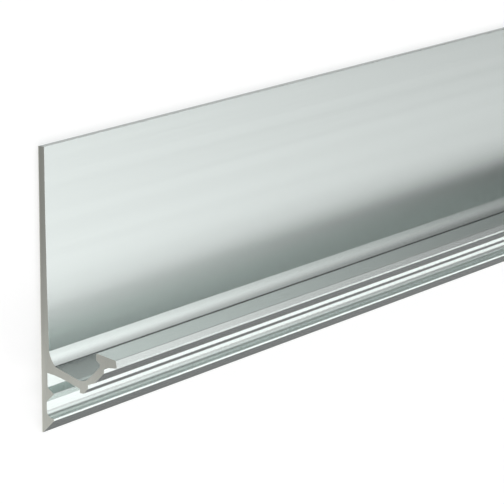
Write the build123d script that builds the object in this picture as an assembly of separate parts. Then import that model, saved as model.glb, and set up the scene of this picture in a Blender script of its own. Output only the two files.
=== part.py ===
from build123d import *

# Wall profile in extruded aluminium: a tall flat-backed plate with a barbed hook channel
# on its lower front, a drip nib under the channel, and a leg with a tooth and a toe.
#
# The profile lies on its back. X runs along its length, Y up the plate from the toe,
# Z out from the flat back. The section is drawn as (height, depth): heights go up from
# the tip of the toe, depths go out from the back. Sizes are in mm, angles in degrees.

import os
from math import acos, cos, radians, sin, tan

# Stock
length = 1000.0

# Plate: its front is very slightly hollow, so the wall grows towards the root
plate_height = 80.0
plate_top_wall = 2.0
plate_root_wall = 2.7

# Cove: it leaves the plate's front at a slight tilt and ends in a small step at the channel floor
cove_rise = 3.35
cove_tilt = 14.0
cove_radius = 9.5
cove_reach = 2.0
step_run = 0.25

# Leg below the arm, with its tooth and toe
leg_wall = 2.05
foot_wall = 1.7
tooth_height = 11.4
tooth_reach = 2.15
tooth_top_angle = 37.0
toe_reach = 2.4
toe_top_height = 4.4
toe_lip = 0.65
toe_edge = 0.35
toe_flat = 0.4

# Arm: it slopes down from the cove, rounds a valley, then climbs at 45 degrees to the shoulder
arm_wall = 2.1
arm_height = 19.9
arm_slope = 18.0
armpit_height = 17.1
armpit_reach = 6.5
shoulder_height = 21.4
channel_depth = 20.0
valley_radius = 4.0

# Neck and barbed head above the shoulder
neck_wall = 1.35
neck_radius = 0.6
barb_gap = 0.9
barb_reach = 1.2
barb_flank = 0.85
barb_face = 1.95
head_overhang = 4.4
head_underside_rise = 0.4
head_underside_bow = 0.65
head_front = 2.15
head_lean = 0.4
head_radius = 0.3

# Drip edge, set back from the channel's depth, and the nib beside it
drip_inset = 1.75
notch_reach = 2.35
notch_rise = 0.95
nib_wall = 2.75
nib_front = 1.1
nib_chamfer = 1.5

# Radius that the die leaves on the other outer corners
edge_radius = 0.15

# Depths and heights that follow from the sizes above
inside_plate = plate_root_wall / 2
cove_height = arm_height + cove_rise
lip_depth = plate_root_wall + cove_reach
lip_turn = acos(cos(radians(cove_tilt)) - cove_reach / cove_radius)
lip_height = cove_height - cove_radius * (sin(lip_turn) - sin(radians(cove_tilt)))
tooth_depth = leg_wall + tooth_reach
toe_depth = foot_wall + toe_reach
toe_radius = toe_reach - toe_flat
toe_chamfer_height = toe_top_height - toe_lip
neck_depth = channel_depth + neck_wall
barb_depth = channel_depth - barb_reach
barb_base_height = shoulder_height + barb_gap
barb_heel_height = barb_base_height + barb_flank
barb_tip_height = barb_heel_height + barb_face
head_depth = neck_depth + head_overhang
head_low_height = shoulder_height + head_underside_rise
head_top_height = head_low_height + head_front
drip_edge = channel_depth - drip_inset
nib_depth = drip_edge - notch_reach
nib_back = nib_depth - nib_wall


def floor_line(depth, wall=0.0):
    """Height of the arm's sloping top face at a depth, or of its underside one wall lower."""
    slope = radians(arm_slope)
    return arm_height - tan(slope) * (depth - plate_root_wall) - wall / cos(slope)


def climb_line(depth, wall=0.0):
    """Height of the arm's 45 degree inner face at a depth, or of its outer face one wall lower."""
    return shoulder_height + depth - channel_depth - wall / cos(radians(45))


valley_depth = (floor_line(0) - climb_line(0)) / (1 + tan(radians(arm_slope)))
drip_height = climb_line(drip_edge, arm_wall)
notch_height = drip_height - notch_rise
nib_chamfer_height = notch_height - nib_front
nib_low_height = nib_chamfer_height - nib_chamfer


def plate():
    sides = Polyline(
        (cove_height, plate_root_wall), (cove_height, 0), (plate_height, 0), (plate_height, plate_top_wall)
    )
    front = TangentArc((plate_height, plate_top_wall), (cove_height, plate_root_wall), tangent=(-1, 0))
    return make_face(sides + front)


def cove():
    """Hollow root of the arm, with the step that drops from its lip to the channel floor."""
    floor_start = lip_depth + step_run
    tilt = radians(cove_tilt)
    downhill = (-cos(tilt), sin(tilt))
    hollow = TangentArc((cove_height, plate_root_wall), (lip_height, lip_depth), tangent=downhill)
    rest = Polyline(
        (lip_height, lip_depth),
        (floor_line(floor_start), floor_start),
        (floor_line(floor_start, arm_wall / 2), floor_start),
        (floor_line(inside_plate, arm_wall / 2), inside_plate),
        (cove_height, inside_plate),
        (cove_height, plate_root_wall),
    )
    return make_face(hollow + rest)


def leg():
    hollow_top = toe_top_height + toe_radius
    hollow_depth = foot_wall + toe_radius
    front = Polyline(
        (hollow_top, foot_wall),
        (tooth_height - (tooth_depth - foot_wall), foot_wall),
        (tooth_height, tooth_depth),
        (tooth_height + tooth_reach * tan(radians(tooth_top_angle)), leg_wall),
        (cove_height, leg_wall),
        (cove_height, 0),
        (0, 0),
        (0, toe_edge),
        (toe_chamfer_height, toe_depth),
        (toe_top_height, toe_depth),
        (toe_top_height, hollow_depth),
    )
    hollow = TangentArc((toe_top_height, hollow_depth), (hollow_top, foot_wall), tangent=(0, -1))
    return make_face(front + hollow)


def arm():
    """Bent strip of one wall thickness, arched underneath where it springs from the leg."""
    armpit = leg_wall + armpit_reach
    strip = Polyline(
        (armpit_height, leg_wall),
        (armpit_height, inside_plate),
        (floor_line(inside_plate), inside_plate),
        (floor_line(valley_depth), valley_depth),
        (shoulder_height, channel_depth),
        (barb_base_height, channel_depth),
        (barb_base_height, neck_depth),
        (climb_line(neck_depth, arm_wall), neck_depth),
        (drip_height, drip_edge),
        (notch_height, nib_depth),
        (floor_line(nib_back, arm_wall), nib_back),
        (floor_line(armpit, arm_wall), armpit),
    )
    uphill = (tan(radians(arm_slope)), -1)
    arch = TangentArc((floor_line(armpit, arm_wall), armpit), (armpit_height, leg_wall), tangent=uphill)
    return make_face(strip + arch)


def nib():
    outline = Polyline(
        (notch_height, nib_depth),
        (nib_chamfer_height, nib_depth),
        (nib_low_height, nib_depth - nib_chamfer),
        (nib_low_height, nib_back),
        (floor_line(nib_back, arm_wall / 2), nib_back),
        close=True,
    )
    return make_face(outline)


def head():
    """Barb that points back over the channel, and the nose with its bowed underside."""
    neck_top = (head_low_height - head_underside_bow, neck_depth)
    outline = Polyline(
        neck_top,
        (climb_line(channel_depth), channel_depth),
        (barb_base_height, channel_depth),
        (barb_heel_height, barb_depth),
        (barb_tip_height, barb_depth),
        (head_top_height, head_depth - head_lean),
        (head_low_height, head_depth),
    )
    underside = TangentArc((head_low_height, head_depth), neck_top, tangent=(0, -1))
    return make_face(outline + underside)


def rounded(section):
    """Section with its valley and neck filled out and its outer corners eased."""
    corners = {
        valley_radius: [(floor_line(valley_depth), valley_depth)],
        neck_radius: [(head_low_height - head_underside_bow, neck_depth)],
        head_radius: [
            (barb_tip_height, barb_depth),
            (head_top_height, head_depth - head_lean),
            (head_low_height, head_depth),
        ],
        edge_radius: [
            (plate_height, 0),
            (plate_height, plate_top_wall),
            (lip_height, lip_depth),
            (barb_heel_height, barb_depth),
            (drip_height, drip_edge),
            (nib_chamfer_height, nib_depth),
            (nib_low_height, nib_depth - nib_chamfer),
            (nib_low_height, nib_back),
            (tooth_height, tooth_depth),
            (toe_top_height, toe_depth),
            (toe_chamfer_height, toe_depth),
            (0, toe_edge),
        ],
    }
    for radius, places in corners.items():
        for place in places:
            section = fillet(section.vertices().sort_by_distance(place)[0], radius)
    return section


def profile():
    section = rounded(plate() + cove() + leg() + arm() + nib() + head())
    return extrude(Plane.YZ * Pos(-plate_height / 2, 0) * section, amount=length / 2, both=True)


os.makedirs("parts", exist_ok=True)
export_step(profile(), "parts/profile.step")
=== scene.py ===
from math import radians

import bpy
from mathutils import Matrix, Vector


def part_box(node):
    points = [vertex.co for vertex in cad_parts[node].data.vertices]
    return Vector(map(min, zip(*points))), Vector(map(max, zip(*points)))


# Wall profile in bright mill-finish aluminium, lying on its flat back. Sizes are in metres:
# X runs along the length, Y up the plate from the toe, Z out of the back.

# Studio sky. Each pair is an angle round the profile's length, in degrees from straight up
# (minus towards the toe, plus towards the plain edge), and the light level seen there. FAR_SKY
# lies straight past the far end, NEAR_SKY in a ring round it, and ROOM_SKY is everything else.
# The near and far levels were fitted to the light and dark that the photo shows on the metal.
NEAR_SKY = (
    (-90, 0), (-70, 0.05), (-55, 0.65), (-45, 1.6), (-37, 2.2), (-30, 1.9), (-24, 0.95), (-18, 0.45),
    (-11, 0.75), (-3, 1.05), (8, 1.1), (20, 1.4), (32, 1.5), (45, 0.95), (60, 0.2), (75, 0),
)
FAR_SKY = (
    (-90, 0), (-70, 0.45), (-55, 1.4), (-45, 2.35), (-37, 2.75), (-30, 2.05), (-24, 0.75), (-18, 0),
    (8, 0), (20, 0.2), (32, 0.15), (45, 0),
)
ROOM_SKY = ((-90, 0.5), (-40, 0.9), (0, 0.7), (40, 0.9), (90, 0.5))

# Where one sky gives way to the next, as the share of a direction that points along the length
ROOM_TO_NEAR = (0.40, 0.65)
NEAR_TO_FAR = (0.72, 0.90)

# Glow levels, at the toe and at the plain edge, of the sheets on the floor that only the metal's
# reflections see.
# The toe and edge sheets are painted shade in those reflections and stand in for the shaded floor beside
# the profile.
# The end sheet is painted light that the sawn end reflects.
TOE_SHADE_GLOW = (0.19, 0.19)
EDGE_SHADE_GLOW = (0.54, 0.54)
END_LIGHT_GLOW = (0.75, 0.3)

CARD_HEIGHT = 0.0002
CARD_REACH = 9
FLOOR_REACH = 20

# The photo's camera: its lens in mm, the way it looks, and its place from the profile's low corner
LENS = 231.93
LOOK = (0.8054, -0.2222, -0.5495)
STAND = (-0.6762, 0.2462, 0.5310)

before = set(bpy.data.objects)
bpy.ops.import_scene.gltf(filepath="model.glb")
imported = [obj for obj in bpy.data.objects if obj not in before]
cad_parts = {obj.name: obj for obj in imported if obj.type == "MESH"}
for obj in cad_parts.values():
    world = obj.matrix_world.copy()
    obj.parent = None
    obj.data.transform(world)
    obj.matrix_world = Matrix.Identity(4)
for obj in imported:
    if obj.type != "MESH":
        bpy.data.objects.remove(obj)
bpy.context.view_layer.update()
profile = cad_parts["profile"]
low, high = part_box("profile")


def new_material(name):
    material = bpy.data.materials.new(name)
    material.use_nodes = True
    nodes = material.node_tree.nodes
    nodes.clear()
    return material, nodes, material.node_tree.links


def surface_output(nodes, links, shader):
    output = nodes.new("ShaderNodeOutputMaterial")
    links.new(shader, output.inputs["Surface"])


def noise(nodes, links, place, scale, detail):
    """Noise whose grain follows the three scales, per metre."""
    stretch = nodes.new("ShaderNodeMapping")
    stretch.inputs["Scale"].default_value = scale
    links.new(place, stretch.inputs["Vector"])
    grain = nodes.new("ShaderNodeTexNoise")
    grain.inputs["Scale"].default_value = 1
    grain.inputs["Detail"].default_value = detail
    links.new(stretch.outputs["Vector"], grain.inputs["Vector"])
    return grain.outputs["Fac"]


def blend(nodes, links, kind, share, first, second):
    """Mix of two values, colours or sockets by a share."""
    mix = nodes.new("ShaderNodeMix")
    mix.data_type = kind
    # A mix node keeps its colour sockets and its number sockets in different slots
    a, b, result = (6, 7, 2) if kind == "RGBA" else (2, 3, 0)
    links.new(share, mix.inputs[0])
    for slot, value in ((a, first), (b, second)):
        if isinstance(value, bpy.types.NodeSocket):
            links.new(value, mix.inputs[slot])
        else:
            mix.inputs[slot].default_value = value
    return mix.outputs[result]


def cut_end_mask(nodes, links, place):
    """One on the two sawn ends, zero on the pressed faces."""
    axes = nodes.new("ShaderNodeSeparateXYZ")
    links.new(place.outputs["Normal"], axes.inputs[0])
    size = nodes.new("ShaderNodeMath")
    size.operation = "ABSOLUTE"
    links.new(axes.outputs["X"], size.inputs[0])
    mask = nodes.new("ShaderNodeMath")
    mask.operation = "GREATER_THAN"
    mask.inputs[1].default_value = 0.9
    links.new(size.outputs[0], mask.inputs[0])
    return mask.outputs[0]


def aluminium():
    """Mill finish: lengthwise die lines on the pressed faces, a duller grain on the sawn ends."""
    material, nodes, links = new_material("mill_finish_aluminium")
    place = nodes.new("ShaderNodeTexCoord")
    spot = place.outputs["Object"]
    sawn = cut_end_mask(nodes, links, place)

    bands = noise(nodes, links, spot, (1.5, 330, 330), 3)
    lines = noise(nodes, links, spot, (3, 2600, 2600), 2)
    cuts = noise(nodes, links, spot, (1, 500, 5200), 3)

    pressed_colour = blend(nodes, links, "RGBA", bands, (0.81, 0.87, 0.85, 1), (0.88, 0.94, 0.92, 1))
    sawn_colour = blend(nodes, links, "RGBA", cuts, (0.64, 0.65, 0.59, 1), (0.76, 0.77, 0.71, 1))
    pressed_rough = blend(nodes, links, "FLOAT", lines, 0.2, 0.22)
    relief = nodes.new("ShaderNodeBump")
    relief.inputs["Strength"].default_value = 0.02
    relief.inputs["Distance"].default_value = 0.0002
    links.new(blend(nodes, links, "FLOAT", sawn, lines, cuts), relief.inputs["Height"])

    metal = nodes.new("ShaderNodeBsdfPrincipled")
    metal.inputs["Metallic"].default_value = 1
    metal.inputs["Anisotropic"].default_value = 0.95
    links.new(blend(nodes, links, "RGBA", sawn, pressed_colour, sawn_colour), metal.inputs["Base Color"])
    links.new(blend(nodes, links, "FLOAT", sawn, pressed_rough, 0.45), metal.inputs["Roughness"])
    links.new(relief.outputs["Normal"], metal.inputs["Normal"])
    across = nodes.new("ShaderNodeTangent")
    across.direction_type = "RADIAL"
    across.axis = "X"
    links.new(across.outputs["Tangent"], metal.inputs["Tangent"])
    surface_output(nodes, links, metal.outputs["BSDF"])
    return material


def pale_floor():
    """White to the camera, plain diffuse paint for the light it throws back."""
    material, nodes, links = new_material("floor_white")
    paint = nodes.new("ShaderNodeBsdfDiffuse")
    paint.inputs["Color"].default_value = (0.85, 0.85, 0.85, 1)
    glow = nodes.new("ShaderNodeEmission")
    glow.inputs["Strength"].default_value = 0.35
    both = nodes.new("ShaderNodeAddShader")
    links.new(paint.outputs["BSDF"], both.inputs[0])
    links.new(glow.outputs["Emission"], both.inputs[1])
    rays = nodes.new("ShaderNodeLightPath")
    seen = rays.outputs["Is Camera Ray"]
    for other in ("Is Glossy Ray", "Is Transmission Ray"):
        total = nodes.new("ShaderNodeMath")
        total.operation = "ADD"
        total.use_clamp = True
        links.new(seen, total.inputs[0])
        links.new(rays.outputs[other], total.inputs[1])
        seen = total.outputs[0]
    mix = nodes.new("ShaderNodeMixShader")
    links.new(seen, mix.inputs["Fac"])
    links.new(paint.outputs["BSDF"], mix.inputs[1])
    links.new(both.outputs["Shader"], mix.inputs[2])
    surface_output(nodes, links, mix.outputs["Shader"])
    return material


def painted_reflection_glow(name, levels):
    """Plain glow, painted reflection light and shade, that runs from one level at the toe to another at
    the plate's plain edge.
    """
    material, nodes, links = new_material(name)
    axes = nodes.new("ShaderNodeSeparateXYZ")
    links.new(nodes.new("ShaderNodeTexCoord").outputs["Object"], axes.inputs[0])
    run = nodes.new("ShaderNodeMapRange")
    run.inputs["From Min"].default_value, run.inputs["From Max"].default_value = low.y, high.y
    run.inputs["To Min"].default_value, run.inputs["To Max"].default_value = levels
    links.new(axes.outputs["Y"], run.inputs["Value"])
    glow = nodes.new("ShaderNodeEmission")
    links.new(run.outputs["Result"], glow.inputs["Strength"])
    surface_output(nodes, links, glow.outputs["Emission"])
    return material


def rectangle(name, left, right, front, back, height, material):
    corners = [(left, front, height), (right, front, height), (right, back, height), (left, back, height)]
    mesh = bpy.data.meshes.new(name)
    mesh.from_pydata([Vector(c) for c in corners], [], [(0, 1, 2, 3)])
    mesh.materials.append(material)
    sheet = bpy.data.objects.new(name, mesh)
    bpy.context.scene.collection.objects.link(sheet)
    return sheet


def painted_reflection_sheet(name, left, right, front, back, levels):
    """Glowing sheet on the floor, no lamp, that only the metal's reflections see: it paints the shade and
    light of the reflected floor at its own levels.
    """
    card = rectangle(name, left, right, front, back, CARD_HEIGHT, painted_reflection_glow(name, levels))
    card.visible_camera = False
    card.visible_diffuse = False
    card.visible_transmission = False
    card.visible_shadow = False


def sky_levels(nodes, stops):
    """Ramp from minus 180 to plus 180 degrees that passes through each stop's level."""
    ramp = nodes.new("ShaderNodeValToRGB")
    elements = ramp.color_ramp.elements
    for k, (angle, level) in enumerate(stops):
        stop = elements[k] if k < 2 else elements.new(1)
        stop.position = (angle + 180) / 360
        stop.color = (level, level, level, 1)
    return ramp


def fade(nodes, links, value, start, end):
    """Smooth step from nought to one between two values."""
    step = nodes.new("ShaderNodeMapRange")
    step.interpolation_type = "SMOOTHSTEP"
    step.inputs["From Min"].default_value = start
    step.inputs["From Max"].default_value = end
    links.new(value, step.inputs["Value"])
    return step.outputs["Result"]


def studio_sky():
    """World whose level follows the angle round the length and how far along it one looks."""
    world = bpy.data.worlds.new("studio")
    world.use_nodes = True
    nodes, links = world.node_tree.nodes, world.node_tree.links
    direction = nodes.new("ShaderNodeTexCoord")
    axes = nodes.new("ShaderNodeSeparateXYZ")
    links.new(direction.outputs["Generated"], axes.inputs[0])
    angle = nodes.new("ShaderNodeMath")
    angle.operation = "ARCTAN2"
    links.new(axes.outputs["Y"], angle.inputs[0])
    links.new(axes.outputs["Z"], angle.inputs[1])
    turn = nodes.new("ShaderNodeMapRange")
    turn.inputs["From Min"].default_value = radians(-180)
    turn.inputs["From Max"].default_value = radians(180)
    links.new(angle.outputs[0], turn.inputs["Value"])
    levels = []
    for stops in (NEAR_SKY, FAR_SKY, ROOM_SKY):
        ramp = sky_levels(nodes, stops)
        links.new(turn.outputs["Result"], ramp.inputs["Fac"])
        levels.append(ramp.outputs["Color"])
    far_share = fade(nodes, links, axes.outputs["X"], *NEAR_TO_FAR)
    ahead_share = fade(nodes, links, axes.outputs["X"], *ROOM_TO_NEAR)
    ahead = blend(nodes, links, "RGBA", far_share, levels[0], levels[1])
    level = blend(nodes, links, "RGBA", ahead_share, levels[2], ahead)
    links.new(level, nodes["Background"].inputs["Color"])
    nodes["Background"].inputs["Strength"].default_value = 1
    bpy.context.scene.world = world


def photo_camera():
    """Looks down the length from the near end, with the plate's height upright in the frame."""
    camera = bpy.data.cameras.new("camera")
    camera.sensor_width = 36
    camera.lens = LENS
    camera.clip_start, camera.clip_end = 0.01, 100
    view = bpy.data.objects.new("camera", camera)
    look = Vector(LOOK).normalized()
    right = look.cross(Vector((0, 1, 0))).normalized()
    turn = Matrix((right, right.cross(look), -look)).transposed().to_4x4()
    view.matrix_world = Matrix.Translation(low + Vector(STAND)) @ turn
    bpy.context.scene.collection.objects.link(view)
    bpy.context.scene.camera = view


profile.data.materials[0] = aluminium()

rectangle("floor", -FLOOR_REACH, FLOOR_REACH, -FLOOR_REACH, FLOOR_REACH, 0, pale_floor())
# Toe sheet: painted shade in the reflections of the toe chamfer and the arm's underside, standing in for
# the shaded floor at the toe
painted_reflection_sheet("toe_shade_card", low.x, CARD_REACH, -CARD_REACH, low.y, TOE_SHADE_GLOW)
# Edge sheet: painted shade in the reflection of the plate's top edge, standing in for the shaded floor at
# the plain edge
painted_reflection_sheet("edge_shade_card", low.x, CARD_REACH, high.y, CARD_REACH, EDGE_SHADE_GLOW)
# End sheet: painted light in the sawn end's reflection, brighter towards the toe
painted_reflection_sheet("end_light_card", -CARD_REACH, low.x, -CARD_REACH, CARD_REACH, END_LIGHT_GLOW)

studio_sky()
photo_camera()
bpy.context.scene.view_settings.view_transform = "Standard"
